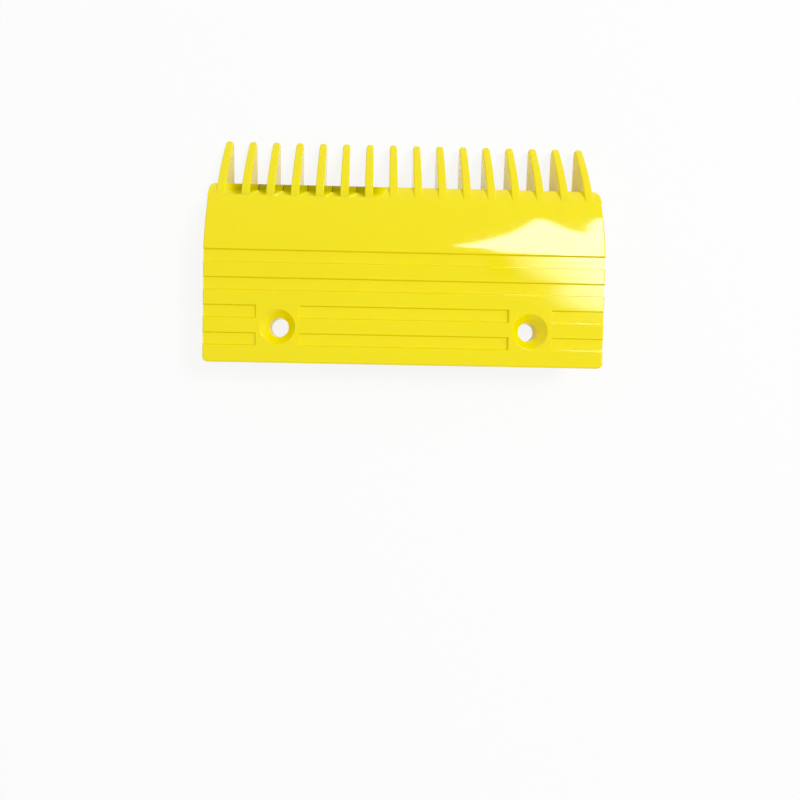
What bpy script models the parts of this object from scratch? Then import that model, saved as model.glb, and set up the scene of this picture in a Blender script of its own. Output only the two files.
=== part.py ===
"""Escalator comb plate: one plastic moulding with sixteen teeth.

Metres. X runs across the plate, Y towards the tooth tips and Z up. The finished
plate has its origin midway between the two screw holes, at the flat underside
that the escalator's frame carries. While it is built, Y is measured from its
rear edge.
"""
import math

import bmesh
import bpy
from mathutils import Matrix

# Plate
TEETH = 16
PITCH = 0.009068
THICKNESS = 0.0072
REAR_CORNER_R = 0.0018
FRONT_CORNER_R = 0.0022
FRONT_CORNER_TURN = 72.0
EDGE_R = 0.0008

# Nose: the tread curves down along one line into the ridges of the teeth
CURVE_START_Y = 0.0415
CURVE_END_Y = 0.0852
CURVE_END_Z = -0.0084
CURVE_START_SLOPE = 0.113
SHOULDER_Y = 0.0595
NOSE_PULL = 0.0024
LIP_Y = 0.0666
LIP_R = 0.00065
LIP_SLOPE = 1.04
LIP_PULL = 0.0014
RIM_END_Y = 0.0610

# Teeth and the fins that they carry on under the nose
RIDGE_START_Y = 0.0604
RIDGE_RAMP = 0.0014
RIDGE_SINK = 0.0003
TIP_R = 0.0009
TIP_TURN = 88.0
TIP_PLAN_R = 0.00145
TIP_NARROWING = 0.8
CREST_Z = -0.0116
CREST_START_Y = 0.0603
FIN_START_Y = 0.0463
FIN_ROOT = 0.0008
FIN_ROUNDNESS = 1.8
TOOTH_AT_TREAD = 0.0034
TOOTH_AT_CREST = 0.00275
TOOTH_EDGE = 0.0005
ROOT_FILLET = 0.0009

# Pads round the fins, with a slot between each pair
PAD_REAR_Y = 0.0451
PAD_DROP = 0.0019
SLOT_WIDTH = 0.00295
SLOT_END_Y = 0.0584
SLOT_RELIEF = 0.0001
PAD_CORNER_R = 0.0009
PAD_CORNER_TURN = 70.0
PAD_CORNER_IN = 0.0007

# Tread grooves, the rear ones broken by a land round each screw
GROOVES = 4
BROKEN_GROOVES = 2
GROOVE_FIRST_Y = 0.00848
GROOVE_PITCH = 0.00992
GROOVE_WIDTH = 0.00435
GROOVE_DEPTH = 0.0009
GROOVE_SLOPE = 0.00035
LAND_WIDTH = 0.0159

# Screws
SCREW_X = 0.0456
SCREW_Y = 0.0130
SINK_D = 0.01275
HOLE_TOP_D = 0.0071
HOLE_D = 0.0066
BOSS_R = 0.0079

# Shallow pockets of the underside
POCKET_DEPTH = 0.0014
POCKET_DRAFT = 0.0005
POCKET_CORNER_R = 0.0013
SIDE_RIM = 0.0046
REAR_RIM = 0.0054
CROSS_RIB_FRONT_Y = 0.0160
CROSS_RIB = 0.0045
POCKET_FRONT_Y = 0.0406
SCREW_RIB = 0.0042
INNER_RIB_X = 0.0209
INNER_RIB = 0.0044
CENTRE_RIB = 0.0082

# How many flats stand for each curve
TREAD_FLATS = 8
NOSE_FLATS = 7
LIP_FLATS = 5
RIDGE_FLATS = 9
TIP_FLATS = 5
FIN_FLATS = 9
EDGE_FLATS = 2
REAR_CORNER_FLATS = 5
SMALL_CORNER_FLATS = 3
SLOT_END_FLATS = 8
BOSS_FLATS = 32
HOLE_FLATS = 40

PLASTIC = (0.885, 0.735, 0.004, 1.0)
PLASTIC_ROUGHNESS = 0.28
SMOOTH_ANGLE = 32.0

WIDTH = TEETH * PITCH
HALF = WIDTH / 2
# CLEAR is how far a cutter stands out of what it cuts, and points within TOUCH are one
CLEAR = 0.002
TOUCH = 0.000001
# A face looks along an axis if its normal has more than FACING of it, and across if less than ACROSS
FACING = 0.9
ACROSS = 0.02


def clear_scene():
    """Remove every object that the file opened with."""
    for obj in list(bpy.data.objects):
        bpy.data.objects.remove(obj, do_unlink=True)


def make_collection(name):
    """Return a new collection under the scene's own."""
    collection = bpy.data.collections.new(name)
    bpy.context.scene.collection.children.link(collection)
    return collection


def plastic():
    """Return the yellow plastic's material."""
    material = bpy.data.materials.new("yellow_plastic")
    material.use_nodes = True
    shader = material.node_tree.nodes["Principled BSDF"]
    shader.inputs["Base Color"].default_value = PLASTIC
    shader.inputs["Roughness"].default_value = PLASTIC_ROUGHNESS
    shader.inputs["Metallic"].default_value = 0.0
    return material


def bezier(points, steps):
    """Return points along the curve that the control points draw."""
    line = []
    for step in range(steps + 1):
        t = step / steps
        level = list(points)
        while len(level) > 1:
            level = [
                ((1 - t) * a[0] + t * b[0], (1 - t) * a[1] + t * b[1])
                for a, b in zip(level, level[1:])
            ]
        line.append(level[0])
    return line


def arc(centre, radius, start, end, steps):
    """Return points on an arc, angles in degrees."""
    angles = [math.radians(start + (end - start) * i / steps) for i in range(steps + 1)]
    return [(centre[0] + radius * math.cos(a), centre[1] + radius * math.sin(a)) for a in angles]


def prism(name, outline, low, high, across, collection):
    """Return a solid with a flat outline, along X for (y, z) points, else along Z."""
    curve = bpy.data.curves.new(name, "CURVE")
    curve.dimensions = "2D"
    curve.fill_mode = "BOTH"
    curve.extrude = (high - low) / 2
    spline = curve.splines.new("POLY")
    spline.points.add(len(outline) - 1)
    for point, place in zip(spline.points, outline):
        point.co = (place[0], place[1], 0, 1)
    spline.use_cyclic_u = True
    drawn = bpy.data.objects.new(name + "_outline", curve)
    collection.objects.link(drawn)
    middle = (low + high) / 2
    if across:
        drawn.matrix_world = Matrix(((0, 0, 1, middle), (1, 0, 0, 0), (0, 1, 0, 0), (0, 0, 0, 1)))
    else:
        drawn.matrix_world = Matrix.Translation((0, 0, middle))
    bpy.context.view_layer.update()
    depsgraph = bpy.context.evaluated_depsgraph_get()
    mesh = bpy.data.meshes.new_from_object(drawn.evaluated_get(depsgraph))
    mesh.transform(drawn.matrix_world)
    mesh.name = name
    bpy.data.objects.remove(drawn, do_unlink=True)
    obj = bpy.data.objects.new(name, mesh)
    collection.objects.link(obj)
    edit = bmesh.new()
    edit.from_mesh(mesh)
    bmesh.ops.remove_doubles(edit, verts=edit.verts, dist=TOUCH)
    bmesh.ops.recalc_face_normals(edit, faces=edit.faces)
    edit.to_mesh(mesh)
    edit.free()
    return obj


def array(obj, count, step):
    """Repeat an object along X, centred on where it stands."""
    modifier = obj.modifiers.new("repeat", "ARRAY")
    modifier.count = count
    modifier.use_relative_offset = False
    modifier.use_constant_offset = True
    modifier.constant_offset_displace = (step, 0, 0)
    modifier.use_merge_vertices = False
    apply_modifiers(obj)
    obj.data.transform(Matrix.Translation((-step * (count - 1) / 2, 0, 0)))


def apply_modifiers(obj):
    """Make an object's modifiers part of its mesh."""
    bpy.context.view_layer.update()
    depsgraph = bpy.context.evaluated_depsgraph_get()
    mesh = bpy.data.meshes.new_from_object(obj.evaluated_get(depsgraph))
    obj.modifiers.clear()
    obj.data = mesh


def combine(obj, other, operation):
    """Join a solid to an object or cut it away."""
    modifier = obj.modifiers.new(operation.lower(), "BOOLEAN")
    modifier.operation = operation
    modifier.solver = "EXACT"
    modifier.use_self = False
    modifier.object = other
    apply_modifiers(obj)
    other.hide_render = True
    other.display_type = "WIRE"


def edit_mesh(obj, change):
    """Run one change on an object's mesh."""
    edit = bmesh.new()
    edit.from_mesh(obj.data)
    edit.normal_update()
    change(edit)
    edit.to_mesh(obj.data)
    edit.free()


def bevel(obj, chosen, width, segments):
    """Round the edges for which chosen(edge) holds."""

    def change(edit):
        edges = [edge for edge in edit.edges if len(edge.link_faces) == 2 and chosen(edge)]
        bmesh.ops.bevel(
            edit, geom=edges, offset=width, offset_type="OFFSET", segments=segments,
            profile=0.5, affect="EDGES", clamp_overlap=False, miter_outer="SHARP",
        )
        bmesh.ops.remove_doubles(edit, verts=edit.verts, dist=TOUCH)

    edit_mesh(obj, change)


def weld(obj, distance):
    """Merge the points that cuts have left closer together than a distance."""

    def change(edit):
        bmesh.ops.remove_doubles(edit, verts=edit.verts, dist=distance)
        bmesh.ops.dissolve_degenerate(edit, edges=edit.edges, dist=distance / 2)

    edit_mesh(obj, change)


def curve_z(y):
    """Return the height of the tread's long curve at y."""
    run = CURVE_END_Y - CURVE_START_Y
    drop = THICKNESS - CURVE_END_Z
    rate = (drop - CURVE_START_SLOPE * run) / run ** 2
    t = y - CURVE_START_Y
    return THICKNESS - CURVE_START_SLOPE * t - rate * t ** 2


def curve_slope(y):
    """Return how steeply the tread's long curve falls at y."""
    step = 10 * TOUCH
    return (curve_z(y - step) - curve_z(y)) / step


def curve_points(first, last, steps):
    """Return points on the tread's long curve from one y to another."""
    places = [first + (last - first) * step / steps for step in range(steps + 1)]
    return [(y, curve_z(y)) for y in places]


def tip_round():
    """Return the rounded end of a tooth as the side view shows it."""
    tilt = math.degrees(math.atan(curve_slope(CURVE_END_Y)))
    lean = math.radians(90 - tilt)
    centre = (CURVE_END_Y - TIP_R * math.cos(lean), CURVE_END_Z - TIP_R * math.sin(lean))
    return arc(centre, TIP_R, 90 - tilt, -TIP_TURN, TIP_FLATS)[1:]


def fin_round():
    """Return the rear end of a fin, from its crest up to the pad."""
    reach = CREST_START_Y - FIN_START_Y
    top = FIN_ROOT - PAD_DROP
    height = top - CREST_Z
    line = []
    for step in range(FIN_FLATS + 1):
        angle = math.radians(90 * step / FIN_FLATS)
        y = CREST_START_Y - reach * math.sin(angle) ** (2 / FIN_ROUNDNESS)
        z = top - height * math.cos(angle) ** (2 / FIN_ROUNDNESS)
        line.append((y, z))
    return line


def nose_curve():
    """Return the roll of the nose from the tread down to the underside."""
    tilt = math.degrees(math.atan(LIP_SLOPE))
    centre = (LIP_Y - LIP_R, -PAD_DROP + LIP_R)
    lip = arc(centre, LIP_R, 90 - tilt, -90, LIP_FLATS)
    start = (SHOULDER_Y, curve_z(SHOULDER_Y))
    first = (SHOULDER_Y + NOSE_PULL, start[1] - NOSE_PULL * curve_slope(SHOULDER_Y))
    second = (lip[0][0] - LIP_PULL, lip[0][1] + LIP_PULL * LIP_SLOPE)
    return bezier([start, first, second, lip[0]], NOSE_FLATS)[:-1] + lip


def body_outline():
    """Return the side view of the plate with its nose and the pads under it."""
    return (
        [(-CLEAR, 0.0), (-CLEAR, THICKNESS)]
        + curve_points(CURVE_START_Y, SHOULDER_Y, TREAD_FLATS)[:-1]
        + nose_curve()
        + [(PAD_REAR_Y, -PAD_DROP), (PAD_REAR_Y, 0.0)]
    )


def plan_outline():
    """Return the plan view of the plate, which rounds its four corners."""
    rear_in = HALF - REAR_CORNER_R
    front = (HALF - FRONT_CORNER_R, LIP_Y - FRONT_CORNER_R)
    right = arc((rear_in, REAR_CORNER_R), REAR_CORNER_R, -90, 0, REAR_CORNER_FLATS)
    right += arc(front, FRONT_CORNER_R, 0, FRONT_CORNER_TURN, SMALL_CORNER_FLATS)
    right.append((right[-1][0], LIP_Y + CLEAR))
    return right + [(-x, y) for x, y in reversed(right)]


def ridge_and_fin_outline():
    """Return the side view of one tooth, from its ridge to the fin under the nose."""
    return (
        [(RIDGE_START_Y - RIDGE_RAMP, 0.0), (RIDGE_START_Y, curve_z(RIDGE_START_Y) - RIDGE_SINK)]
        + curve_points(RIDGE_START_Y + RIDGE_RAMP, CURVE_END_Y, RIDGE_FLATS)
        + tip_round()
        + fin_round()
    )


def tooth_half(z):
    """Return half a tooth's thickness at height z, thinner towards its crest."""
    share = (z - CREST_Z) / (THICKNESS - CREST_Z)
    return (TOOTH_AT_CREST + share * (TOOTH_AT_TREAD - TOOTH_AT_CREST)) / 2


def rounded_side(edge):
    """Tell whether a tooth's edge runs along its ridge, tip, crest or rear round."""
    sides = [abs(face.normal.x) > FACING for face in edge.link_faces]
    if sides.count(True) != 1:
        return False
    return all(
        vertex.co.z < -PAD_DROP + CLEAR / 2 or vertex.co.y > RIDGE_START_Y - TOUCH
        for vertex in edge.verts
    )


def teeth(collection):
    """Return all the teeth, each with rounded edges and a tip rounded in plan."""
    obj = prism("teeth", ridge_and_fin_outline(), -PITCH / 4, PITCH / 4, True, collection)
    for vertex in obj.data.vertices:
        vertex.co.x = math.copysign(tooth_half(vertex.co.z), vertex.co.x)
    bevel(obj, rounded_side, TOOTH_EDGE, EDGE_FLATS)
    round_tip(obj)
    array(obj, TEETH, PITCH)
    return obj


def groove_cutter(centre_y, low_x, high_x, ends, cutters):
    """Return a groove's cutter; ends names the sides (-1, 1) that slope up to a land."""
    half = GROOVE_WIDTH / 2
    lean = GROOVE_SLOPE / 2
    rise = THICKNESS + CLEAR
    top_half = half + lean * (1 + 2 * CLEAR / GROOVE_DEPTH)
    outline = [
        (centre_y - half + lean, THICKNESS - GROOVE_DEPTH),
        (centre_y + half - lean, THICKNESS - GROOVE_DEPTH),
        (centre_y + top_half, rise),
        (centre_y - top_half, rise),
    ]
    obj = prism("groove", outline, low_x, high_x, True, cutters)
    for vertex in obj.data.vertices:
        side = 1 if vertex.co.x > (low_x + high_x) / 2 else -1
        if side in ends:
            above = vertex.co.z - (THICKNESS - GROOVE_DEPTH / 2)
            vertex.co.x += side * above / GROOVE_DEPTH * GROOVE_SLOPE
    return obj


def groove_cutters(cutters):
    """Return the cutters of all the grooves."""
    outside = HALF + CLEAR
    inner = SCREW_X - LAND_WIDTH / 2
    outer = SCREW_X + LAND_WIDTH / 2
    found = []
    for row in range(GROOVES):
        y = GROOVE_FIRST_Y + row * GROOVE_PITCH
        if row < BROKEN_GROOVES:
            found.append(groove_cutter(y, -outside, -outer, (1,), cutters))
            found.append(groove_cutter(y, -inner, inner, (-1, 1), cutters))
            found.append(groove_cutter(y, outer, outside, (-1,), cutters))
        else:
            found.append(groove_cutter(y, -outside, outside, (), cutters))
    return found


def slot_cutter(cutters):
    """Return the cutter of the slots between the pads."""
    half = SLOT_WIDTH / 2
    flare = half + PAD_CORNER_R
    front = arc((0, SLOT_END_Y - half), half, 0, 180, SLOT_END_FLATS)
    corner = (-flare, PAD_REAR_Y + PAD_CORNER_IN)
    left = arc(corner, PAD_CORNER_R, 0, -PAD_CORNER_TURN, SMALL_CORNER_FLATS)
    right = [(-x, y) for x, y in reversed(left)]
    behind = PAD_REAR_Y - PAD_CORNER_R
    outline = front + left + [(left[-1][0], behind), (right[0][0], behind)] + right
    obj = prism("slots", outline, -PAD_DROP - CLEAR, SLOT_RELIEF, False, cutters)
    array(obj, TEETH - 1, PITCH)
    return obj


def pocket_cutter(low_x, high_x, low_y, high_y, cutters):
    """Return a shallow pocket's cutter with rounded corners and drafted walls."""
    bpy.ops.mesh.primitive_cube_add(size=1, location=(0, 0, 0))
    obj = bpy.context.object
    obj.name = "pocket"
    for collection in list(obj.users_collection):
        collection.objects.unlink(obj)
    cutters.objects.link(obj)
    size = (high_x - low_x, high_y - low_y, POCKET_DEPTH + CLEAR)
    obj.data.transform(Matrix.Diagonal((*size, 1)))
    bevel(obj, upright_edge, POCKET_CORNER_R, SMALL_CORNER_FLATS)
    for vertex in obj.data.vertices:
        vertex.co.z += (POCKET_DEPTH - CLEAR) / 2
        drawn_in = pocket_draft(vertex.co.z)
        vertex.co.x = (low_x + high_x) / 2 + vertex.co.x * (1 - 2 * drawn_in / size[0])
        vertex.co.y = (low_y + high_y) / 2 + vertex.co.y * (1 - 2 * drawn_in / size[1])
    edit_mesh(obj, lambda edit: bmesh.ops.triangulate(edit, faces=edit.faces))
    return obj


def upright_edge(edge):
    """Tell whether an edge of a pocket's block runs up it."""
    first, last = edge.verts
    return abs(first.co.z - last.co.z) > CLEAR


def pocket_draft(z):
    """Return how far a pocket's walls stand in from its rim at height z."""
    return POCKET_DRAFT * z / POCKET_DEPTH


def boss_cutter(side, cutters):
    """Return the boss round a screw, which the pockets keep clear of."""
    reach = 2 * CLEAR
    bpy.ops.mesh.primitive_cone_add(
        vertices=BOSS_FLATS, radius1=BOSS_R + pocket_draft(-reach),
        radius2=BOSS_R + pocket_draft(reach), depth=2 * reach, location=(0, 0, 0),
    )
    obj = bpy.context.object
    obj.name = "boss"
    for collection in list(obj.users_collection):
        collection.objects.unlink(obj)
    cutters.objects.link(obj)
    obj.data.transform(Matrix.Translation((side * SCREW_X, SCREW_Y, 0)))
    return obj


def pocket_cutters(cutters):
    """Return the cutters of the upper and lower rows of pockets."""
    outer = HALF - SIDE_RIM
    screw_out = SCREW_X + SCREW_RIB / 2
    screw_in = SCREW_X - SCREW_RIB / 2
    inner_out = INNER_RIB_X + INNER_RIB / 2
    inner_in = INNER_RIB_X - INNER_RIB / 2
    upper = [(screw_out, outer), (inner_out, screw_in)]
    lower = upper + [(CENTRE_RIB / 2, inner_in)]
    rows = [
        (upper, CROSS_RIB_FRONT_Y, POCKET_FRONT_Y),
        (lower, REAR_RIM, CROSS_RIB_FRONT_Y - CROSS_RIB),
    ]
    found = [pocket_cutter(-inner_in, inner_in, CROSS_RIB_FRONT_Y, POCKET_FRONT_Y, cutters)]
    for spans, low_y, high_y in rows:
        for low_x, high_x in spans:
            found.append(pocket_cutter(low_x, high_x, low_y, high_y, cutters))
            found.append(pocket_cutter(-high_x, -low_x, low_y, high_y, cutters))
    for cutter in found:
        for side in (-1, 1):
            boss = boss_cutter(side, cutters)
            combine(cutter, boss, "DIFFERENCE")
            bpy.data.objects.remove(boss, do_unlink=True)
        weld(cutter, 10 * TOUCH)
    return found


def screw_cutter(side, cutters):
    """Return a countersunk hole's cutter, turned round its axis."""
    sink = (SINK_D - HOLE_TOP_D) / 2
    slope = (HOLE_TOP_D - HOLE_D) / 2 / (THICKNESS - sink)
    profile = [
        (0.0, THICKNESS + CLEAR),
        (SINK_D / 2 + CLEAR, THICKNESS + CLEAR),
        (HOLE_TOP_D / 2, THICKNESS - sink),
        (HOLE_D / 2 - slope * CLEAR, -CLEAR),
        (0.0, -CLEAR),
    ]
    mesh = bpy.data.meshes.new("screw_hole")
    edit = bmesh.new()
    points = [edit.verts.new((radius, 0, z)) for radius, z in profile]
    for first, second in zip(points, points[1:]):
        edit.edges.new((first, second))
    edit.to_mesh(mesh)
    edit.free()
    obj = bpy.data.objects.new("screw_hole", mesh)
    cutters.objects.link(obj)
    turn = obj.modifiers.new("turn", "SCREW")
    turn.axis = "Z"
    turn.angle = math.radians(360)
    turn.steps = HOLE_FLATS
    turn.render_steps = HOLE_FLATS
    turn.use_merge_vertices = True
    turn.merge_threshold = TOUCH
    turn.use_smooth_shade = False
    apply_modifiers(obj)
    obj.data.transform(Matrix.Translation((side * SCREW_X, SCREW_Y, 0)))
    edit_mesh(obj, lambda edit: bmesh.ops.recalc_face_normals(edit, faces=edit.faces))
    return obj


def upright(face):
    """Tell whether a face is one of the upright ones round the plate."""
    return abs(face.normal.z) < ACROSS


def rim_edge(edge):
    """Tell whether an edge lies between the plate's upright rim and its top or underside."""
    kinds = [upright(face) for face in edge.link_faces]
    if kinds.count(True) != 1 or not edge.is_convex:
        return False
    above = all(vertex.co.z > CLEAR / 2 and vertex.co.y < RIM_END_Y for vertex in edge.verts)
    below = all(
        abs(vertex.co.z) < TOUCH and vertex.co.y < PAD_REAR_Y - EDGE_R for vertex in edge.verts
    )
    return above or below


def root_edge(edge):
    """Tell whether an edge is the long one between a fin's side and the pads."""
    at_pad = all(
        abs(vertex.co.z + PAD_DROP) < TOUCH and vertex.co.y > PAD_REAR_Y for vertex in edge.verts
    )
    return at_pad and not edge.is_convex and edge.calc_length() > (LIP_Y - FIN_START_Y) / 4


def round_tip(obj):
    """Narrow a tooth towards a rounded end in plan."""
    start = CURVE_END_Y + TIP_R / 2 - TIP_PLAN_R

    def change(edit):
        for share in (0.0, 0.5):
            place = start + share * TIP_PLAN_R
            geometry = [*edit.verts, *edit.edges, *edit.faces]
            bmesh.ops.bisect_plane(
                edit, geom=geometry, dist=TOUCH / 10, plane_co=(0, place, 0), plane_no=(0, 1, 0)
            )
        front = max(vertex.co.y for vertex in edit.verts)
        for vertex in edit.verts:
            if vertex.co.y > start:
                share = (vertex.co.y - start) / (front - start)
                vertex.co.x *= math.sqrt(1 - TIP_NARROWING * share ** 2)

    edit_mesh(obj, change)


def finish(obj):
    """Weld, face outwards and shade the finished moulding."""

    def change(edit):
        bmesh.ops.remove_doubles(edit, verts=edit.verts, dist=2 * TOUCH)
        bmesh.ops.dissolve_degenerate(edit, edges=edit.edges, dist=TOUCH)
        bmesh.ops.triangulate(edit, faces=edit.faces)
        bmesh.ops.recalc_face_normals(edit, faces=edit.faces)

    edit_mesh(obj, change)
    obj.data.shade_smooth()
    obj.data.set_sharp_from_angle(angle=math.radians(SMOOTH_ANGLE))


def build_plate(collection, cutters):
    """Return the finished comb plate."""
    plate = prism("comb_plate", body_outline(), -HALF - CLEAR, HALF + CLEAR, True, collection)
    plan = prism("plan", plan_outline(), -PAD_DROP - CLEAR, THICKNESS + CLEAR, False, cutters)
    combine(plate, plan, "INTERSECT")
    bevel(plate, rim_edge, EDGE_R, EDGE_FLATS)
    others = [slot_cutter(cutters)] + groove_cutters(cutters) + pocket_cutters(cutters)
    others += [screw_cutter(side, cutters) for side in (-1, 1)]
    for cutter in others:
        combine(plate, cutter, "DIFFERENCE")
    combine(plate, teeth(cutters), "UNION")
    bevel(plate, root_edge, ROOT_FILLET, EDGE_FLATS)
    finish(plate)
    plate.data.transform(Matrix.Translation((0, -SCREW_Y, 0)))
    return plate


def main():
    """Model the comb plate in a collection of its own."""
    clear_scene()
    collection = make_collection("escalator_comb_plate")
    cutters = make_collection("cutters")
    plate = build_plate(collection, cutters)
    plate.name = "comb_plate"
    plate.data.name = "comb_plate"
    plate.data.materials.clear()
    plate.data.materials.append(plastic())
    for obj in cutters.objects:
        obj.hide_render = True
        obj.display_type = "WIRE"


main()
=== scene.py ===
"""Escalator comb plate: the finished look of one glossy yellow moulding.

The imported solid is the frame. This script models the same moulding again with
its fine radii, mould marks and rounded pockets, gives it its plastic, and sets
up a pale studio with the camera above the tread.

Metres. X runs across the plate, Y towards the tooth tips and Z up. The origin
is midway between the screw holes at the flat underside, and the classes
measure Y from the plate's rear edge while they build.
"""

from __future__ import annotations

import logging
import math
from collections.abc import Callable
from dataclasses import dataclass, field
from enum import Enum

import bmesh
import bpy
from mathutils import Matrix, Vector

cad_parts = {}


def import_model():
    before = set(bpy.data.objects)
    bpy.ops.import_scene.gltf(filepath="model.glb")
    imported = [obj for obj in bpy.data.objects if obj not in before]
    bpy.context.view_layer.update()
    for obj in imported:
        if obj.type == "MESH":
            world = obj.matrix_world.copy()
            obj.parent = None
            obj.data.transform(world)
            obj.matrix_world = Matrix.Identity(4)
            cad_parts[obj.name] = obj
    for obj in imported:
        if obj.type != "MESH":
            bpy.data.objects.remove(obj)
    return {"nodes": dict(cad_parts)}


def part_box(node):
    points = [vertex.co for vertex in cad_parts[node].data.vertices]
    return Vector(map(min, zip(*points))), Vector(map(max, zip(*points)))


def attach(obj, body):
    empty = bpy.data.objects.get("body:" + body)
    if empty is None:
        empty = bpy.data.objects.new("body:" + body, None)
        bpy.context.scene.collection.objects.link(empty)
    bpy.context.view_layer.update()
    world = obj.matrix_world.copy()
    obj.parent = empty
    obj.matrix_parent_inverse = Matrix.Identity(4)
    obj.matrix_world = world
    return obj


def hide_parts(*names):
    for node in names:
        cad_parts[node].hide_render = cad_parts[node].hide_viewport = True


LOG = logging.getLogger("comb_plate")
NODE = "comb_plate"
BODY = "root"

MM = 0.001
CLEAR = 2 * MM
TINY = 1e-6

Point = tuple[float, float]
Edge = bmesh.types.BMEdge
Piece = bpy.types.Object


class Along(Enum):
    """Axis along which an outline is extruded."""

    ACROSS = "X"
    UPRIGHT = "Z"


class Cut(Enum):
    """What a second solid does to the first."""

    AWAY = "DIFFERENCE"
    JOIN = "UNION"
    KEEP_COMMON = "INTERSECT"


def deselect_all() -> None:
    """Leave object mode on, with nothing selected."""
    active = bpy.context.view_layer.objects.active
    if active is not None and active.mode != "OBJECT":
        bpy.ops.object.mode_set(mode="OBJECT")
    bpy.ops.object.select_all(action="DESELECT")


def activate(piece: Piece) -> None:
    """Select one piece alone and make it active.

    Args:
        piece: The piece that the next operators work on.
    """
    deselect_all()
    piece.select_set(True)
    bpy.context.view_layer.objects.active = piece


def arc(centre: Point, radius: float, start: float, end: float, steps: int) -> list[Point]:
    """Return points on an arc.

    Args:
        centre: The arc's centre.
        radius: Its radius.
        start: First angle, in degrees.
        end: Last angle, in degrees.
        steps: Number of stretches.

    Returns:
        steps + 1 points from start to end.
    """
    angles = [math.radians(start + (end - start) * i / steps) for i in range(steps + 1)]
    return [(centre[0] + radius * math.cos(a), centre[1] + radius * math.sin(a)) for a in angles]


def bezier(points: list[Point], steps: int) -> list[Point]:
    """Return points along the curve that the control points draw.

    Args:
        points: Control points, ends included.
        steps: Number of stretches.

    Returns:
        steps + 1 points from the first control point to the last.
    """
    line = []
    for step in range(steps + 1):
        share = step / steps
        level = list(points)
        while len(level) > 1:
            level = [
                ((1 - share) * a[0] + share * b[0], (1 - share) * a[1] + share * b[1])
                for a, b in zip(level, level[1:])
            ]
        line.append(level[0])
    return line


def flat_shape(name: str, outline: list[Point], along: Along, level: float) -> Piece:
    """Model one flat face with a given outline.

    Args:
        name: The piece's name.
        outline: Corner points: (y, z) for ACROSS, (x, y) for UPRIGHT.
        along: The axis that the face looks along.
        level: The face's place on that axis.

    Returns:
        The new piece.
    """
    deselect_all()
    bpy.ops.mesh.primitive_circle_add(vertices=len(outline), radius=1, fill_type="NGON")
    piece = bpy.context.object
    piece.name = name
    for vertex, (first, second) in zip(piece.data.vertices, outline):
        across = (level, first, second)
        upright = (first, second, level)
        vertex.co = across if along is Along.ACROSS else upright
    return piece


def extruded(name: str, outline: list[Point], along: Along, low: float, high: float) -> Piece:
    """Model a solid with a flat outline.

    Args:
        name: The piece's name.
        outline: Corner points, as flat_shape takes them.
        along: The axis that the outline is extruded along.
        low: Where the solid starts on that axis.
        high: Where it ends.

    Returns:
        The new piece, closed and facing outwards.
    """
    piece = flat_shape(name, outline, along, low)
    travel = (high - low, 0, 0) if along is Along.ACROSS else (0, 0, high - low)
    bpy.ops.object.mode_set(mode="EDIT")
    bpy.ops.mesh.select_all(action="SELECT")
    bpy.ops.mesh.extrude_region_move(TRANSFORM_OT_translate={"value": travel})
    face_outwards()
    return piece


def face_outwards() -> None:
    """Turn the faces of the mesh being edited outwards and leave edit mode."""
    bpy.ops.mesh.select_all(action="SELECT")
    bpy.ops.mesh.normals_make_consistent(inside=False)
    bpy.ops.object.mode_set(mode="OBJECT")


def sunk(name: str, outline: list[Point], start: float, steps: list[Point]) -> Piece:
    """Model a dish-shaped solid by insetting and pushing one face step by step.

    Args:
        name: The piece's name.
        outline: The (x, y) outline at the start.
        start: The height of the start.
        steps: For each step, how far the rim goes inwards and how far it goes up
            (or down where the number is negative).

    Returns:
        The new piece, closed and facing outwards.
    """
    piece = flat_shape(name, outline, Along.UPRIGHT, start)
    first, rest = steps[0], steps[1:]
    bpy.ops.object.mode_set(mode="EDIT")
    bpy.ops.mesh.select_all(action="SELECT")
    bpy.ops.mesh.extrude_region_move(TRANSFORM_OT_translate={"value": (0, 0, first[1])})
    face_up = bmesh.from_edit_mesh(piece.data)
    face_up.normal_update()
    rim = next(face for face in face_up.faces if face.select)
    if rim.normal.z * first[1] < 0:
        rim.normal_flip()
    bmesh.update_edit_mesh(piece.data)
    for inwards, rise in rest:
        bpy.ops.mesh.inset(thickness=inwards, depth=abs(rise), use_even_offset=True)
    face_outwards()
    return piece


def edit_edges(piece: Piece, chosen: Callable[[Edge], bool]) -> None:
    """Open a piece in edit mode with only some of its edges selected.

    Args:
        piece: The piece to edit.
        chosen: Tells whether an edge is selected.
    """
    activate(piece)
    bpy.ops.object.mode_set(mode="EDIT")
    bpy.ops.mesh.select_mode(type="EDGE")
    bpy.ops.mesh.select_all(action="DESELECT")
    edit = bmesh.from_edit_mesh(piece.data)
    edit.normal_update()
    for edge in [edge for edge in edit.edges if len(edge.link_faces) == 2 and chosen(edge)]:
        edge.select_set(True)
    bmesh.update_edit_mesh(piece.data)


def round_edges(piece: Piece, chosen: Callable[[Edge], bool], radius: float, steps: int) -> None:
    """Round a piece's chosen edges, outer ones and inner ones alike.

    Args:
        piece: The piece to change.
        chosen: Tells whether an edge is rounded.
        radius: How far the rounding reaches on each side.
        steps: Number of flats that make up the rounding.
    """
    edit_edges(piece, chosen)
    bpy.ops.mesh.bevel(
        offset_type="OFFSET", offset=radius, segments=steps, profile=0.5, affect="EDGES",
        clamp_overlap=False, miter_outer="SHARP",
    )
    bpy.ops.mesh.select_all(action="SELECT")
    bpy.ops.mesh.remove_doubles(threshold=TINY)
    bpy.ops.object.mode_set(mode="OBJECT")


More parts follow.
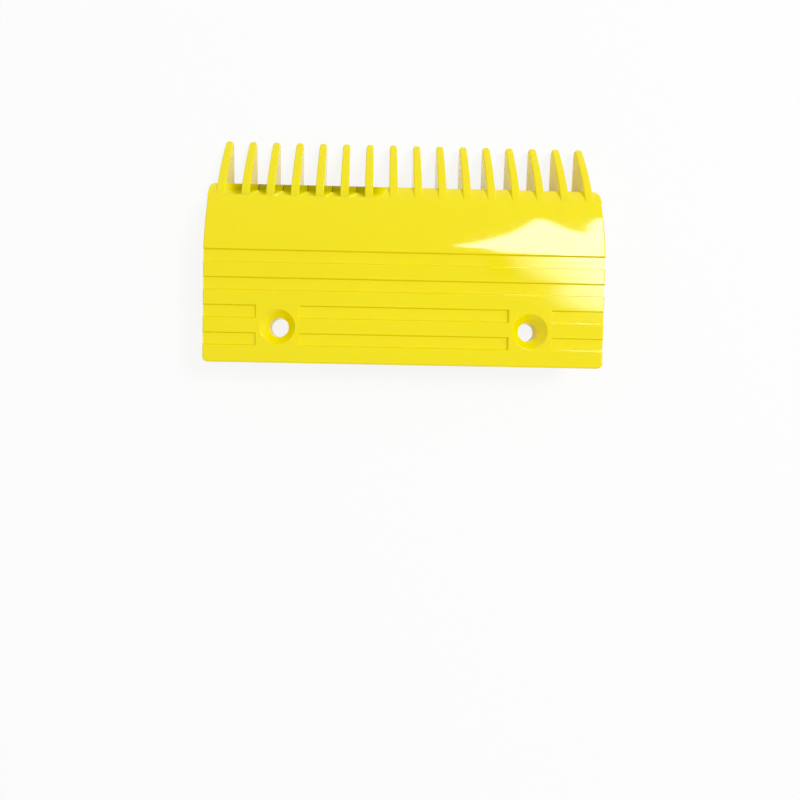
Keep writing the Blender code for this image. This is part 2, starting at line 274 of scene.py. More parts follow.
def combine(piece: Piece, other: Piece, cut: Cut) -> None:
    """Cut a piece with another, or join the two, and remove the other.

    Args:
        piece: The piece that stays.
        other: The piece that is used up.
        cut: What the other does to the first.
    """
    modifier = piece.modifiers.new("combine", "BOOLEAN")
    modifier.operation = cut.value
    modifier.solver = "EXACT"
    modifier.object = other
    activate(piece)
    bpy.ops.object.modifier_apply(modifier=modifier.name)
    bpy.data.objects.remove(other, do_unlink=True)


def copy_of(piece: Piece, shift: Vector) -> Piece:
    """Return a copy of a piece with its own mesh, moved by a vector."""
    copied = piece.copy()
    copied.data = piece.data.copy()
    copied.data.transform(Matrix.Translation(shift))
    bpy.context.scene.collection.objects.link(copied)
    return copied


def join_all(pieces: list[Piece]) -> Piece:
    """Join pieces into the first one's object and return it."""
    deselect_all()
    for piece in pieces:
        piece.select_set(True)
    bpy.context.view_layer.objects.active = pieces[0]
    bpy.ops.object.join()
    return pieces[0]


@dataclass
class SideView:
    """The plate's side view: tread, nose, ridge and fin, as (y, z) lines."""

    thickness: float = 7.2 * MM
    curve_start: float = 41.5 * MM
    curve_end: float = 85.2 * MM
    curve_end_z: float = -8.4 * MM
    start_slope: float = 0.113
    shoulder: float = 59.5 * MM
    shoulder_pull: float = 2.4 * MM
    lip: float = 66.6 * MM
    lip_radius: float = 0.65 * MM
    lip_slope: float = 1.04
    lip_pull: float = 1.4 * MM
    pad_rear: float = 45.1 * MM
    pad_drop: float = 1.9 * MM
    pad_edge: float = 0.35 * MM
    ridge_start: float = 60.4 * MM
    ridge_ramp: float = 1.4 * MM
    ridge_sink: float = 0.3 * MM
    tip_radius: float = 0.9 * MM
    crest_z: float = -11.6 * MM
    crest_start: float = 60.3 * MM
    fin_start: float = 46.3 * MM
    fin_roundness: float = 1.8
    fin_root: float = 0.8 * MM

    def height(self, y: float) -> float:
        """Return the height of the tread's long curve at y."""
        run = self.curve_end - self.curve_start
        drop = self.thickness - self.curve_end_z
        rate = (drop - self.start_slope * run) / run**2
        ahead = y - self.curve_start
        return self.thickness - self.start_slope * ahead - rate * ahead**2

    def slope(self, y: float) -> float:
        """Return how steeply the tread's long curve falls at y."""
        step = 0.01 * MM
        return (self.height(y) - self.height(y + step)) / step

    def long_curve(self, first: float, last: float, steps: int) -> list[Point]:
        """Return points on the long curve.

        Args:
            first: Where they start.
            last: Where they end.
            steps: Number of stretches.

        Returns:
            steps + 1 points.
        """
        places = [first + (last - first) * step / steps for step in range(steps + 1)]
        return [(y, self.height(y)) for y in places]

    def nose(self) -> list[Point]:
        """Return the roll of the nose from the tread down to the underside."""
        tilt = math.degrees(math.atan(self.lip_slope))
        centre = (self.lip - self.lip_radius, -self.pad_drop + self.lip_radius)
        lip = arc(centre, self.lip_radius, 90 - tilt, -90, 8)
        start = (self.shoulder, self.height(self.shoulder))
        fall = self.shoulder_pull * self.slope(self.shoulder)
        first = (start[0] + self.shoulder_pull, start[1] - fall)
        second = (lip[0][0] - self.lip_pull, lip[0][1] + self.lip_pull * self.lip_slope)
        return bezier([start, first, second, lip[0]], 14)[:-1] + lip

    def body(self) -> list[Point]:
        """Return the side view of the plate with its nose and the pads under it."""
        edge = self.pad_edge
        pad_front = arc((self.pad_rear + edge, edge - self.pad_drop), edge, 270, 180, 4)
        pad_root = arc((self.pad_rear - edge, -edge), edge, 0, 90, 4)
        return (
            [(-CLEAR, 0.0), (-CLEAR, self.thickness)]
            + self.long_curve(self.curve_start, self.shoulder, 16)[:-1]
            + self.nose()
            + pad_front
            + pad_root
        )

    def tip(self) -> list[Point]:
        """Return the rounded end of a tooth."""
        lean = math.pi / 2 - math.atan(self.slope(self.curve_end))
        centre = (
            self.curve_end - self.tip_radius * math.cos(lean),
            self.curve_end_z - self.tip_radius * math.sin(lean),
        )
        return arc(centre, self.tip_radius, math.degrees(lean), -88, 8)[1:]

    def fin_rear(self, steps: int) -> list[Point]:
        """Return the rear end of a fin, from its crest up to the pad."""
        reach = self.crest_start - self.fin_start
        top = self.fin_root - self.pad_drop
        height = top - self.crest_z
        power = 2 / self.fin_roundness
        angles = [math.radians(90 * step / steps) for step in range(steps + 1)]
        return [
            (self.crest_start - reach * math.sin(a) ** power, top - height * math.cos(a) ** power)
            for a in angles
        ]

    def tooth(self) -> list[Point]:
        """Return the side view of one tooth, from its ridge to the fin under the nose."""
        first = self.ridge_start + self.ridge_ramp
        rear = self.ridge_start - self.ridge_ramp
        return (
            [(rear, 0.0), (self.ridge_start, self.height(self.ridge_start) - self.ridge_sink)]
            + self.long_curve(first, self.curve_end, 16)
            + self.tip()
            + self.fin_rear(16)
        )


@dataclass
class CombTeeth:
    """The row of teeth: one is modelled, the others are its copies."""

    side: SideView
    pitch: float
    count: int = 16
    at_tread: float = 3.4 * MM
    at_crest: float = 2.75 * MM
    edge: float = 0.5 * MM
    tip_round: float = 1.45 * MM
    tip_narrowing: float = 0.8

    def half(self, z: float) -> float:
        """Return half a tooth's thickness at height z."""
        share = (z - self.side.crest_z) / (self.side.thickness - self.side.crest_z)
        return (self.at_crest + share * (self.at_tread - self.at_crest)) / 2

    def outer_edge(self, edge: Edge) -> bool:
        """Tell whether an edge shows on the finished tooth and borders its flat side."""
        flats = [abs(face.normal.x) > 0.9 for face in edge.link_faces]
        below = self.side.fin_root / 2 - self.side.pad_drop
        shown = [v.co.z < below or v.co.y > self.side.ridge_start - TINY for v in edge.verts]
        return flats.count(True) == 1 and all(shown)

    def narrow_tip(self, tooth: Piece) -> None:
        """Bring a tooth's sides together towards its tip.

        Args:
            tooth: The tooth, centred on X = 0.
        """
        front = max(vertex.co.y for vertex in tooth.data.vertices)
        start = front - self.tip_round
        activate(tooth)
        bpy.ops.object.mode_set(mode="EDIT")
        for share in (0.0, 0.3, 0.55, 0.75):
            bpy.ops.mesh.select_all(action="SELECT")
            place = (0, start + share * self.tip_round, 0)
            bpy.ops.mesh.bisect(plane_co=place, plane_no=(0, 1, 0), threshold=TINY / 10)
        bpy.ops.object.mode_set(mode="OBJECT")
        for vertex in tooth.data.vertices:
            share = max(0.0, (vertex.co.y - start) / self.tip_round)
            vertex.co.x *= math.sqrt(1 - self.tip_narrowing * share**2)

    def build(self) -> Piece:
        """Model the teeth.

        Returns:
            One object that holds all of them.
        """
        tooth = extruded("tooth", self.side.tooth(), Along.ACROSS, -MM, MM)
        for vertex in tooth.data.vertices:
            vertex.co.x = math.copysign(self.half(vertex.co.z), vertex.co.x)
        round_edges(tooth, self.outer_edge, self.edge, 4)
        self.narrow_tip(tooth)
        middle = (self.count - 1) / 2
        row = [
            copy_of(tooth, Vector(((number - middle) * self.pitch, 0, 0)))
            for number in range(self.count)
        ]
        bpy.data.objects.remove(tooth, do_unlink=True)
        LOG.info("teeth: %d on a pitch of %.3f mm", self.count, self.pitch / MM)
        return join_all(row)


def rounded_box(low: Point, high: Point, radius: float, steps: int) -> list[Point]:
    """Return a rectangle's outline with rounded corners.

    Args:
        low: The corner with the lowest x and y.
        high: The opposite corner.
        radius: The corners' radius.
        steps: Number of stretches in each corner.

    Returns:
        The outline's points, counter-clockwise.
    """
    centres = [
        (high[0] - radius, low[1] + radius, -90),
        (high[0] - radius, high[1] - radius, 0),
        (low[0] + radius, high[1] - radius, 90),
        (low[0] + radius, low[1] + radius, 180),
    ]
    line = []
    for x, y, start in centres:
        line += arc((x, y), radius, start, start + 90, steps)
    return line


def circle(centre: Point, radius: float, sides: int) -> list[Point]:
    """Return a circle's outline with a given number of sides."""
    return arc(centre, radius, 0, 360 - 360 / sides, sides - 1)


def profile_steps(profile: list[Point]) -> list[Point]:
    """Turn a wall's (inwards, depth) places into the steps between them."""
    return [(b[0] - a[0], b[1] - a[1]) for a, b in zip(profile, profile[1:])]


def wall_profile(depth: float, draft: float, mouth: float, fillet: float) -> list[Point]:
    """Return the section of a recess's wall, from its rounded mouth to its floor.

    Args:
        depth: How deep the recess is.
        draft: How far the wall leans in over that depth.
        mouth: Radius of the rounded edge at the mouth.
        fillet: Radius between wall and floor.

    Returns:
        (inwards, depth) places. The first lies outside the surface.
    """
    line = [(-mouth, -CLEAR), (-mouth, -0.01 * MM)]
    for angle in (25, 50, 75):
        turn = math.radians(angle)
        line.append((-mouth * (1 - math.sin(turn)), mouth * (1 - math.cos(turn))))
    line.append((0.0, mouth))
    foot = draft * (depth - fillet) / depth
    for angle in (0, 22, 45, 67, 90):
        turn = math.radians(angle)
        line.append((foot + fillet * (1 - math.cos(turn)), depth - fillet * (1 - math.sin(turn))))
    return line


def recess(
    name: str, outline: list[Point], surface: float, down: bool, profile: list[Point]
) -> Piece:
    """Model the solid that cuts a recess with a shaped wall.

    Args:
        name: The piece's name.
        outline: The (x, y) outline where the profile starts.
        surface: The height of the surface that is cut.
        down: Whether the recess goes down from the surface, or up.
        profile: The wall's section.

    Returns:
        The cutting solid.
    """
    sign = -1 if down else 1
    steps = [(inwards, sign * rise) for inwards, rise in profile_steps(profile)]
    return sunk(name, outline, surface + sign * profile[0][1], steps)


@dataclass
class PlateBody:
    """The plate without its teeth: slab, nose, grooves, pockets, pads and holes."""

    side: SideView
    half: float
    pitch: float
    gaps: int = 15
    rear_corner: float = 1.8 * MM
    front_corner: float = 2.2 * MM
    rim: float = 0.8 * MM
    rim_end: float = 61.0 * MM
    groove_first: float = 8.48 * MM
    groove_pitch: float = 9.92 * MM
    groove_width: float = 4.35 * MM
    groove_depth: float = 0.9 * MM
    groove_slope: float = 0.35 * MM
    groove_mouth: float = 0.1 * MM
    groove_fillet: float = 0.12 * MM
    land: float = 15.9 * MM
    screw_x: float = 45.6 * MM
    screw_y: float = 13.0 * MM
    sink: float = 12.75 * MM
    hole_top: float = 7.1 * MM
    hole: float = 6.6 * MM
    boss: float = 7.9 * MM
    pocket_depth: float = 1.4 * MM
    pocket_draft: float = 0.5 * MM
    pocket_corner: float = 1.4 * MM
    pocket_fillet: float = 0.8 * MM
    pocket_mouth: float = 0.2 * MM
    side_rim: float = 4.6 * MM
    rear_rim: float = 5.4 * MM
    cross_front: float = 16.0 * MM
    cross_rib: float = 4.5 * MM
    pocket_front: float = 40.6 * MM
    screw_rib: float = 4.2 * MM
    inner_rib_x: float = 20.9 * MM
    inner_rib: float = 4.4 * MM
    centre_rib: float = 8.2 * MM
    slot: float = 2.95 * MM
    slot_end: float = 58.4 * MM
    slot_relief: float = 0.1 * MM
    pad_corner: float = 0.9 * MM
    pad_corner_in: float = 0.7 * MM

    def plan(self) -> list[Point]:
        """Return the plan view that rounds the plate's four corners."""
        rear_in = self.half - self.rear_corner
        front_in = self.half - self.front_corner
        right = arc((rear_in, self.rear_corner), self.rear_corner, -90, 0, 10)
        lip = self.side.lip
        right += arc((front_in, lip - self.front_corner), self.front_corner, 0, 72, 6)
        right.append((right[-1][0], lip + CLEAR))
        return right + [(-x, y) for x, y in reversed(right)]

    def rim_edge(self, edge: Edge) -> bool:
        """Tell whether an edge lies between the upright rim and the top or underside."""
        upright = [abs(face.normal.z) < 0.02 for face in edge.link_faces]
        if upright.count(True) != 1 or not edge.is_convex:
            return False
        ends = [vertex.co for vertex in edge.verts]
        above = all(end.z > CLEAR / 2 and end.y < self.rim_end for end in ends)
        last = self.side.pad_rear - self.rim
        below = all(abs(end.z) < TINY and end.y < last for end in ends)
        return above or below

    def slab(self) -> Piece:
        """Model the plate's outer form with rounded corners and rim."""
        plate = extruded(
            "plate", self.side.body(), Along.ACROSS, -self.half - CLEAR, self.half + CLEAR
        )
        low = -self.side.pad_drop - CLEAR
        plan = extruded("plan", self.plan(), Along.UPRIGHT, low, self.side.thickness + CLEAR)
        combine(plate, plan, Cut.KEEP_COMMON)
        round_edges(plate, self.rim_edge, self.rim, 4)
        return plate

    def groove(self, y: float, low: float, high: float) -> Piece:
        """Model the solid that cuts one stretch of a tread groove."""
        mouth = self.groove_mouth
        profile = wall_profile(self.groove_depth, self.groove_slope, mouth, self.groove_fillet)
        reach = (self.groove_width + self.groove_slope) / 2 + mouth
        left, right = low - mouth, high + mouth
        outline = [(left, y - reach), (right, y - reach), (right, y + reach), (left, y + reach)]
        return recess("groove", outline, self.side.thickness, True, profile)

    def grooves(self) -> list[Piece]:
        """Model all stretches of the four grooves."""
        outside = self.half + 3 * CLEAR
        lean = self.groove_slope / 2
        inner = self.screw_x - self.land / 2 + lean
        outer = self.screw_x + self.land / 2 - lean
        found = []
        for row in range(4):
            y = self.groove_first + row * self.groove_pitch
            spans = [(-outside, outside)]
            if row < 2:
                spans = [(-outside, -outer), (-inner, inner), (outer, outside)]
            found += [self.groove(y, low, high) for low, high in spans]
        return found

    def screw_hole(self, side: int) -> Piece:
        """Model the solid that cuts one countersunk hole.

        Args:
            side: -1 or 1 for the left or the right hole.

        Returns:
            The cutting solid.
        """
        top = self.side.thickness
        edge = 0.12 * MM
        sink, neck, foot = self.sink / 2, self.hole_top / 2, self.hole / 2
        drop = sink - neck
        radii = [
            (sink + edge, -CLEAR),
            (sink + edge, -0.01 * MM),
            (sink + 0.3 * edge, 0.2 * edge),
            (sink - edge, edge + 0.05 * MM),
            (neck + 2 * edge, drop - edge),
            (neck + 0.5 * edge, drop + 0.4 * edge),
            (neck, drop + 2 * edge),
            (foot, top - 2 * edge),
            (foot + edge, top),
            (foot + edge, top + CLEAR),
        ]
        profile = [(radii[0][0] - radius, depth) for radius, depth in radii]
        outline = circle((side * self.screw_x, self.screw_y), radii[0][0], 72)
        return recess("screw_hole", outline, top, True, profile)

    def beside_boss(self, low: Point, high: Point) -> list[Point]:
        """Return the outline of a pocket that a screw's boss cuts one corner off.

        Args:
            low: The pocket's near corner, with the boss's centre at (0, 0).
            high: Its far corner.

        Returns:
            The outline's points, counter-clockwise.
        """
        corner = self.pocket_corner + self.pocket_mouth
        boss = self.boss - self.pocket_mouth
        reach = boss + corner
        left, bottom = low[0] + corner, low[1] + corner
        right, top = high[0] - corner, high[1] - corner
        foot = math.sqrt(reach**2 - bottom**2)
        head, turn = (left, math.sqrt(reach**2 - left**2)), 180
        if head[1] > top:
            head, turn = (math.sqrt(reach**2 - top**2), top), 90
        first = math.degrees(math.atan2(bottom, foot))
        last = math.degrees(math.atan2(head[1], head[0]))
        line = arc((foot, bottom), corner, 180 + first, 270, 6)
        line += arc((right, bottom), corner, -90, 0, 6) + arc((right, top), corner, 0, 90, 6)
        if turn == 180:
            line += arc((left, top), corner, 90, 180, 6)
        line += arc(head, corner, turn, 180 + last, 6)
        return line + arc((0.0, 0.0), boss, last, first, 12)[1:-1]

    def pocket(self, outline: list[Point]) -> Piece:
        """Model the solid that cuts one pocket of the underside."""
        mouth = self.pocket_mouth
        profile = wall_profile(self.pocket_depth, self.pocket_draft, mouth, self.pocket_fillet)
        return recess("pocket", outline, 0.0, False, profile)

    def screw_pockets(self) -> list[Piece]:
        """Model the cutters of the eight pockets beside the two screw bosses."""
        near = self.screw_rib / 2
        far_out = self.half - self.side_rim - self.screw_x
        far_in = self.screw_x - self.inner_rib_x - self.inner_rib / 2
        front = (self.cross_front - self.screw_y, self.pocket_front - self.screw_y)
        rear = (self.screw_y - self.cross_front + self.cross_rib, self.screw_y - self.rear_rim)
        found = []
        for outwards, far in ((1, far_out), (-1, far_in)):
            for forwards, (low, high) in ((1, front), (-1, rear)):
                mouth = self.pocket_mouth
                line = self.beside_boss((near - mouth, low - mouth), (far + mouth, high + mouth))
                for side in (-1, 1):
                    outline = [
                        (side * (self.screw_x + outwards * x), self.screw_y + forwards * y)
                        for x, y in line
                    ]
                    found.append(self.pocket(outline))
        return found

    def middle_pockets(self) -> list[Piece]:
        """Model the cutters of the three plain pockets between the screws."""
        edge = self.inner_rib_x - self.inner_rib / 2
        centre = self.centre_rib / 2
        rear = (self.rear_rim, self.cross_front - self.cross_rib)
        front = (self.cross_front, self.pocket_front)
        mouth = self.pocket_mouth
        found = []
        for (left, right), (low, high) in (
            ((-edge, edge), front), ((-edge, -centre), rear), ((centre, edge), rear)
        ):
            start, end = (left - mouth, low - mouth), (right + mouth, high + mouth)
            found.append(self.pocket(rounded_box(start, end, self.pocket_corner + mouth, 6)))
        return found

    def slots(self) -> Piece:
        """Model the solid that cuts the slots between the pads."""
        half = self.slot / 2
        flare = half + self.pad_corner
        front = arc((0, self.slot_end - half), half, 0, 180, 12)
        corner = (-flare, self.side.pad_rear + self.pad_corner_in)
        left = arc(corner, self.pad_corner, 0, -70, 5)
        right = [(-x, y) for x, y in reversed(left)]
        behind = self.side.pad_rear - self.pad_corner
        outline = front + left + [(left[-1][0], behind), (right[0][0], behind)] + right
        top = self.slot_relief
        cutter = extruded("slots", outline, Along.UPRIGHT, -self.side.pad_drop - CLEAR, top)
        middle = (self.gaps - 1) / 2
        row = [
            copy_of(cutter, Vector(((number - middle) * self.pitch, 0, 0)))
            for number in range(self.gaps)
        ]
        bpy.data.objects.remove(cutter, do_unlink=True)
        return join_all(row)

    def build(self) -> Piece:
        """Model the plate.

        Returns:
            The plate without teeth, as one solid.
        """
        plate = self.slab()
        cutters = [self.slots()] + self.grooves() + self.screw_pockets() + self.middle_pockets()
        cutters += [self.screw_hole(side) for side in (-1, 1)]
        for cutter in cutters:
            combine(plate, cutter, Cut.AWAY)
        LOG.info("plate: %d recesses and holes cut", len(cutters))
        return plate


@dataclass
class MouldMarks:
    """Marks that the mould leaves in the pockets: ejector pins and a plain insert."""

    floor: float = 1.4 * MM
    depth: float = 0.08 * MM
    pin_radius: float = 2.4 * MM
    small_radius: float = 1.5 * MM
    upper: tuple[Point, ...] = ((62.3, 35.7), (13.1, 35.9), (-13.0, 35.8), (-58.0, 35.9))
    lower: tuple[Point, ...] = ((61.6, 8.6), (12.9, 8.6), (-12.9, 8.6), (-58.8, 8.6))
    insert: Point = (30.9, 24.6)
    insert_radii: tuple[float, ...] = (6.0 * MM, 4.5 * MM)

    def disc(self, centre: Point, radius: float, depth: float) -> Piece:
        """Model the solid that sinks a round mark into a pocket's floor.

        Args:
            centre: The mark's (x, y) in millimetres.
            radius: Its radius.
            depth: How far it goes past the floor.

        Returns:
            The cutting solid.
        """
        place = (centre[0] * MM, centre[1] * MM)
        start = self.floor - 0.2 * MM
        outline = circle(place, radius, 40)
        steps = [(0.0, 0.2 * MM + depth - 0.03 * MM), (0.03 * MM, 0.03 * MM)]
        return sunk("mark", outline, start, steps)

    def build(self, plate: Piece) -> None:
        """Cut the marks.

        Args:
            plate: The plate, with its pockets cut.
        """
        cutters = [self.disc(place, self.pin_radius, self.depth) for place in self.upper]
        cutters += [self.disc(place, self.small_radius, self.depth) for place in self.lower]
        for number, radius in enumerate(self.insert_radii):
            cutters.append(self.disc(self.insert, radius, self.depth * (number + 1)))
        for cutter in cutters:
            combine(plate, cutter, Cut.AWAY)
        LOG.info("mould marks: %d", len(cutters))


@dataclass
class CombPlate:
    """The whole moulding: plate and teeth joined, with the fillets between them."""

    low: Vector
    high: Vector
    screw_y: float = 13.0 * MM
    teeth_count: int = 16
    root_fillet: float = 0.9 * MM
    sharp_angle: float = 34.0
    side: SideView = field(default_factory=SideView)

    def long_root(self, edge: Edge) -> bool:
        """Tell whether an edge is the long one between a fin's side and the pads."""
        drop = self.side.pad_drop
        ends = [vertex.co for vertex in edge.verts]
        at_pad = all(abs(end.z + drop) < TINY and end.y > self.side.pad_rear for end in ends)
        reach = (self.side.lip - self.side.fin_start) / 4
        return at_pad and not edge.is_convex and edge.calc_length() > reach

    def build(self) -> Piece:
        """Model the moulding.

        Returns:
            The finished piece in the row frame.
        """
        half = self.high.x
        pitch = 2 * half / self.teeth_count
        body = PlateBody(self.side, half, pitch, gaps=self.teeth_count - 1)
        plate = body.build()
        MouldMarks(floor=body.pocket_depth).build(plate)
        combine(plate, CombTeeth(self.side, pitch, self.teeth_count).build(), Cut.JOIN)
        round_edges(plate, self.long_root, self.root_fillet, 4)
        self.finish(plate)
        return plate

    def finish(self, plate: Piece) -> None:
        """Clean the mesh, move it into the row frame and shade it.

        Args:
            plate: The joined moulding.
        """
        plate.name = "comb_plate_moulding"
        plate.data.name = plate.name
        activate(plate)
        bpy.ops.object.mode_set(mode="EDIT")
        bpy.ops.mesh.select_all(action="SELECT")
        bpy.ops.mesh.remove_doubles(threshold=2 * TINY)
        bpy.ops.mesh.dissolve_degenerate(threshold=TINY)
        face_outwards()
        plate.data.transform(Matrix.Translation((0, -self.screw_y, 0)))
        bpy.ops.object.shade_smooth_by_angle(angle=math.radians(self.sharp_angle))
        evener = plate.modifiers.new("even_shading", "WEIGHTED_NORMAL")
        evener.keep_sharp = True
        evener.weight = 60
        bpy.ops.object.modifier_apply(modifier=evener.name)


class Wire:
    """A socket of a material's node tree that takes part in Python arithmetic."""

    def __init__(self, tree: bpy.types.NodeTree, socket: bpy.types.NodeSocket) -> None:
        """Wrap a socket.

        Args:
            tree: The node tree that it belongs to.
            socket: The output socket.
        """
        self.tree = tree
        self.socket = socket

    def _maths(self, operation: str, first: object, second: object) -> Wire:
        """Add a Math node.

        Args:
            operation: The node's operation.
            first: A wire or a number.
            second: A wire or a number.

        Returns:
            The node's result.
        """
        node = self.tree.nodes.new("ShaderNodeMath")
        node.operation = operation
        for place, value in zip(node.inputs, (first, second)):
            if isinstance(value, Wire):
                self.tree.links.new(value.socket, place)
            else:
                place.default_value = value
        return Wire(self.tree, node.outputs[0])

    def __add__(self, other: Wire | float) -> Wire:
        """Return the sum."""
        return self._maths("ADD", self, other)

    def __radd__(self, other: float) -> Wire:
        """Return the sum with the wire second."""
        return self._maths("ADD", other, self)

    def __sub__(self, other: Wire | float) -> Wire:
        """Return the difference."""
        return self._maths("SUBTRACT", self, other)

    def __rsub__(self, other: float) -> Wire:
        """Return the difference with the wire second."""
        return self._maths("SUBTRACT", other, self)

    def __mul__(self, other: Wire | float) -> Wire:
        """Return the product."""
        return self._maths("MULTIPLY", self, other)

    def __rmul__(self, other: float) -> Wire:
        """Return the product with the wire second."""
        return self._maths("MULTIPLY", other, self)


class Recipe:
    """The node tree of one material."""

    def __init__(self, name: str) -> None:
        """Start a material with a shader and an output.

        Args:
            name: The material's name.
        """
        self.material = bpy.data.materials.new(name)
        self.material.use_nodes = True
        self.tree = self.material.node_tree
        self.shader = self.tree.nodes["Principled BSDF"]

    def add(
        self,
        kind: str,
        settings: dict[str, object] | None = None,
        values: dict[str | int, object] | None = None,
        result: str | int = 0,
    ) -> Wire:
        """Add a node.

        Args:
            kind: The node's type.
            settings: Its own settings, which are set first.
            values: For each input's name or number, a wire or a value.
            result: The output that is returned.

        Returns:
            That output.
        """
        node = self.tree.nodes.new(kind)
        for key, value in (settings or {}).items():
            setattr(node, key, value)
        self.fill(node, values or {})
        return Wire(self.tree, node.outputs[result])

    def fill(self, node: bpy.types.Node, values: dict[str | int, object]) -> None:
        """Give a node's inputs their wires and values."""
        for key, value in values.items():
            if isinstance(value, Wire):
                self.tree.links.new(value.socket, node.inputs[key])
            else:
                node.inputs[key].default_value = value

    def noise(self, place: Wire, scale: float, detail: float) -> Wire:
        """Add a noise texture and return its level."""
        values = {"Vector": place, "Scale": scale, "Detail": detail}
        return self.add("ShaderNodeTexNoise", values=values)

    def surface(self, values: dict[str | int, object]) -> None:
        """Give the shader's sockets their wires and constants."""
        self.fill(self.shader, values)


@dataclass(frozen=True)
class YellowPlastic:
    """Glossy injection-moulded plastic, coloured through."""

    colour: tuple[float, ...] = (0.985, 0.840, 0.0, 1.0)
    deeper: tuple[float, ...] = (0.970, 0.795, 0.0, 1.0)
    gloss: float = 0.055
    dull: float = 0.095
    specular: float = 0.3
    depth: float = 0.002
    depth_share: float = 0.2
    depth_colour: tuple[float, ...] = (1.0, 0.5, 0.1)
    cloud_scale: float = 22.0
    flow_scale: float = 60.0
    flow_stretch: tuple[float, ...] = (1.0, 0.12, 1.0)
    grain_scale: float = 2600.0
    wave_scale: float = 34.0
    wave_height: float = 0.00003
    grain_height: float = 0.0000012

    def make(self) -> bpy.types.Material:
        """Make the material.

        Returns:
            The material, with its detail on Object coordinates.
        """
        recipe = Recipe("glossy_yellow_plastic")
        place = recipe.add("ShaderNodeTexCoord", result="Object")
        streak = {"Vector": place, "Scale": self.flow_stretch}
        cloud = recipe.noise(place, self.cloud_scale, 3.0)
        flow = recipe.noise(recipe.add("ShaderNodeMapping", values=streak), self.flow_scale, 4.0)
        grain = recipe.noise(place, self.grain_scale, 2.0)
        wave = recipe.noise(place, self.wave_scale, 1.0)
        tint = cloud * 0.6 + flow * 0.4
        shades = {0: tint, 6: self.colour, 7: self.deeper}
        height = wave * self.wave_height + grain * self.grain_height
        relief = {"Strength": 1.0, "Distance": 1.0, "Height": height}
        recipe.surface({
            "Base Color": recipe.add("ShaderNodeMix", {"data_type": "RGBA"}, shades, 2),
            "Roughness": self.gloss + (self.dull - self.gloss) * (flow * 0.7 + grain * 0.3),
            "Metallic": 0.0,
            "Specular IOR Level": self.specular,
            "Subsurface Weight": self.depth_share,
            "Subsurface Radius": self.depth_colour,
            "Subsurface Scale": self.depth,
            "Normal": recipe.add("ShaderNodeBump", values=relief, result="Normal"),
        })
        return recipe.material


@dataclass(frozen=True)
class StudioPaper:
    """Matt white paper, nearly white to the camera and in mirror images, clear from below."""

    colour: tuple[float, ...] = (0.92, 0.92, 0.92, 1.0)
    seen_white: float = 0.85

    def make(self) -> bpy.types.Material:
        """Make the material.

        Returns:
            The material: plain paper, mixed with even white for what sees it directly.
        """
        recipe = Recipe("white_paper")
        recipe.surface({"Base Color": self.colour, "Roughness": 0.9, "Specular IOR Level": 0.1})
        seen, mirrored, through = (
            recipe.add("ShaderNodeLightPath", result=f"Is {ray} Ray")
            for ray in ("Camera", "Glossy", "Transmission")
        )
        share = (seen + mirrored + through) * self.seen_white
        white = recipe.add("ShaderNodeEmission", values={"Strength": 1.0})
        paper = Wire(recipe.tree, recipe.shader.outputs[0])
        blend = recipe.add("ShaderNodeMixShader", values={0: share, 1: paper, 2: white})
        behind = recipe.add("ShaderNodeNewGeometry", result="Backfacing")
        clear = recipe.add("ShaderNodeBsdfTransparent")
        one_way = recipe.add("ShaderNodeMixShader", values={0: behind, 1: blend, 2: clear})
        recipe.fill(recipe.tree.nodes["Material Output"], {"Surface": one_way})
        return recipe.material


@dataclass(frozen=True)
class LightCard:
    """Bright card whose mirror image is the highlight on the tread."""

    level: float = 22.5
    slant: float = 1.0
    start: float = 0.283
    fade: float = 0.117

    def make(self) -> bpy.types.Material:
        """Make the material.

        Returns:
            The material, brighter towards one corner of the card.
        """
        recipe = Recipe("light_card")
        place = recipe.add("ShaderNodeTexCoord", result="Object")
        across = recipe.add("ShaderNodeSeparateXYZ", values={"Vector": place}, result="X")
        along = recipe.add("ShaderNodeSeparateXYZ", values={"Vector": place}, result="Y")
        level = (across + along * self.slant - self.start) * (1 / self.fade)
        clamped = recipe.add("ShaderNodeClamp", values={"Value": level})
        shades = {0: clamped, 6: (0.0, 0.0, 0.0, 1.0), 7: (1.0, 1.0, 1.0, 1.0)}
        recipe.surface({
            "Base Color": (0.0, 0.0, 0.0, 1.0),
            "Specular IOR Level": 0.0,
            "Emission Color": recipe.add("ShaderNodeMix", {"data_type": "RGBA"}, shades, 2),
            "Emission Strength": self.level,
        })
        return recipe.material


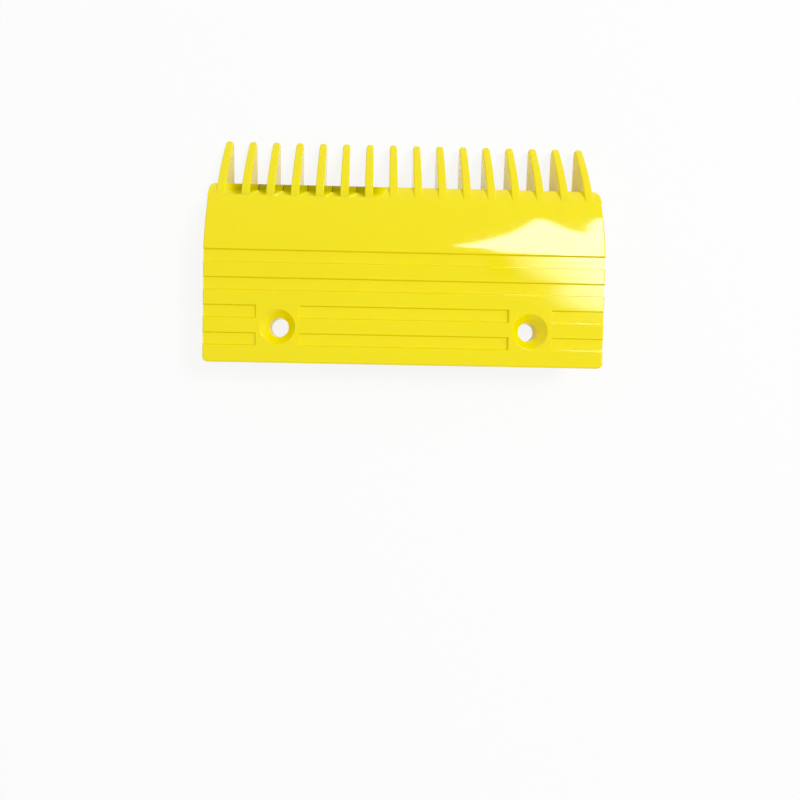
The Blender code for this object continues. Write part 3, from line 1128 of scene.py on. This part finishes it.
@dataclass
class Studio:
    """The pale floor, the soft light and the camera above the tread."""

    floor_z: float
    floor_size: float = 3.0
    world_level: float = 0.6
    backdrop_level: float = 0.88
    lamp_place: Vector = field(default_factory=lambda: Vector((0.80, 0.34, 1.15)))
    lamp_size: float = 0.5
    lamp_power: float = 8.8
    card_z: float = 450 * MM
    card_mm: tuple[Point, ...] = (
        (104, 279), (131, 266), (154, 250), (150, 135), (137, 110), (166, 103), (240, 96),
        (214, 77), (240, 67), (291, 60), (460, 50), (460, 520), (370, 520), (352, 490),
        (335, 450), (318, 400), (306, 384), (292, 400), (280, 440), (272, 485), (261, 499),
        (248, 474), (237, 450), (215, 406), (196, 373), (173, 342), (150, 319), (131, 298),
    )
    camera_place: Vector = field(default_factory=lambda: Vector((-11.98, -12.03, 176.72)) * MM)
    camera_turn: tuple[float, float, float] = (-1.447, -0.779, 1.075)
    lens: float = 21.15
    picture: float = 800.0
    picture_centre: Point = (376.71, 373.80)

    def floor(self) -> None:
        """Lay the floor."""
        deselect_all()
        bpy.ops.mesh.primitive_plane_add(size=self.floor_size, location=(0, 0, self.floor_z))
        paper = bpy.context.object
        paper.name = "studio_floor"
        paper.data.materials.append(StudioPaper().make())

    def card(self) -> None:
        """Hang the card that only shows as a highlight."""
        outline = [(x * MM, y * MM) for x, y in self.card_mm]
        card = flat_shape("light_card", outline, Along.UPRIGHT, self.card_z)
        card.data.materials.append(LightCard().make())
        card.visible_camera = False
        card.visible_diffuse = False
        card.visible_shadow = False

    def world(self) -> None:
        """Fill the room with even light, behind a backdrop as pale as the floor."""
        world = bpy.data.worlds.new("studio")
        world.use_nodes = True
        tree = world.node_tree
        path = tree.nodes.new("ShaderNodeLightPath")
        seen, mirrored, through = (
            Wire(tree, path.outputs[f"Is {ray} Ray"]) for ray in ("Camera", "Glossy", "Transmission")
        )
        shown = seen + mirrored + through
        level = self.world_level + (self.backdrop_level - self.world_level) * shown
        background = tree.nodes["Background"]
        background.inputs["Color"].default_value = (1, 1, 1, 1)
        tree.links.new(level.socket, background.inputs["Strength"])
        bpy.context.scene.world = world

    def lamp(self) -> None:
        """Hang the soft lamp that lights the plate; mirror images don't show it, so the card gives
        the tread its highlight.
        """
        deselect_all()
        bpy.ops.object.light_add(type="AREA", location=self.lamp_place)
        lamp = bpy.context.object
        lamp.name = "soft_lamp"
        lamp.rotation_euler = (-self.lamp_place).to_track_quat("-Z", "Y").to_euler()
        lamp.data.shape = "SQUARE"
        lamp.data.size = self.lamp_size
        lamp.data.energy = self.lamp_power
        lamp.visible_glossy = False

    def camera(self) -> None:
        """Set up the camera as the photograph was taken."""
        data = bpy.data.cameras.new("camera")
        data.sensor_width = 36.0
        data.lens = self.lens
        data.shift_x = 0.5 - self.picture_centre[0] / self.picture
        data.shift_y = self.picture_centre[1] / self.picture - 0.5
        data.clip_start = 0.01
        camera = bpy.data.objects.new("camera", data)
        camera.location = self.camera_place
        camera.rotation_euler = [math.radians(angle) for angle in self.camera_turn]
        bpy.context.scene.collection.objects.link(camera)
        bpy.context.scene.camera = camera

    def build(self) -> None:
        """Set up the whole studio."""
        self.floor()
        self.card()
        self.world()
        self.lamp()
        self.camera()
        bpy.context.scene.view_settings.view_transform = "Standard"
        LOG.info("studio: floor at %.1f mm", self.floor_z / MM)


def main() -> None:
    """Build the moulding and its studio."""
    logging.basicConfig(level=logging.INFO, format="%(name)s: %(message)s")
    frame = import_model()
    LOG.info("frame: %d node", len(frame["nodes"]))
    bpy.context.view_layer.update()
    low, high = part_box(NODE)
    plate = CombPlate(Vector(low), Vector(high)).build()
    plate.data.materials.clear()
    plate.data.materials.append(YellowPlastic().make())
    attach(plate, BODY)
    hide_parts(NODE)
    triangles = sum(len(face.vertices) - 2 for face in plate.data.polygons)
    LOG.info("%s: %d triangles", plate.name, triangles)
    Studio(floor_z=low[2] - 0.05 * MM).build()


if __name__ == "__main__":
    main()
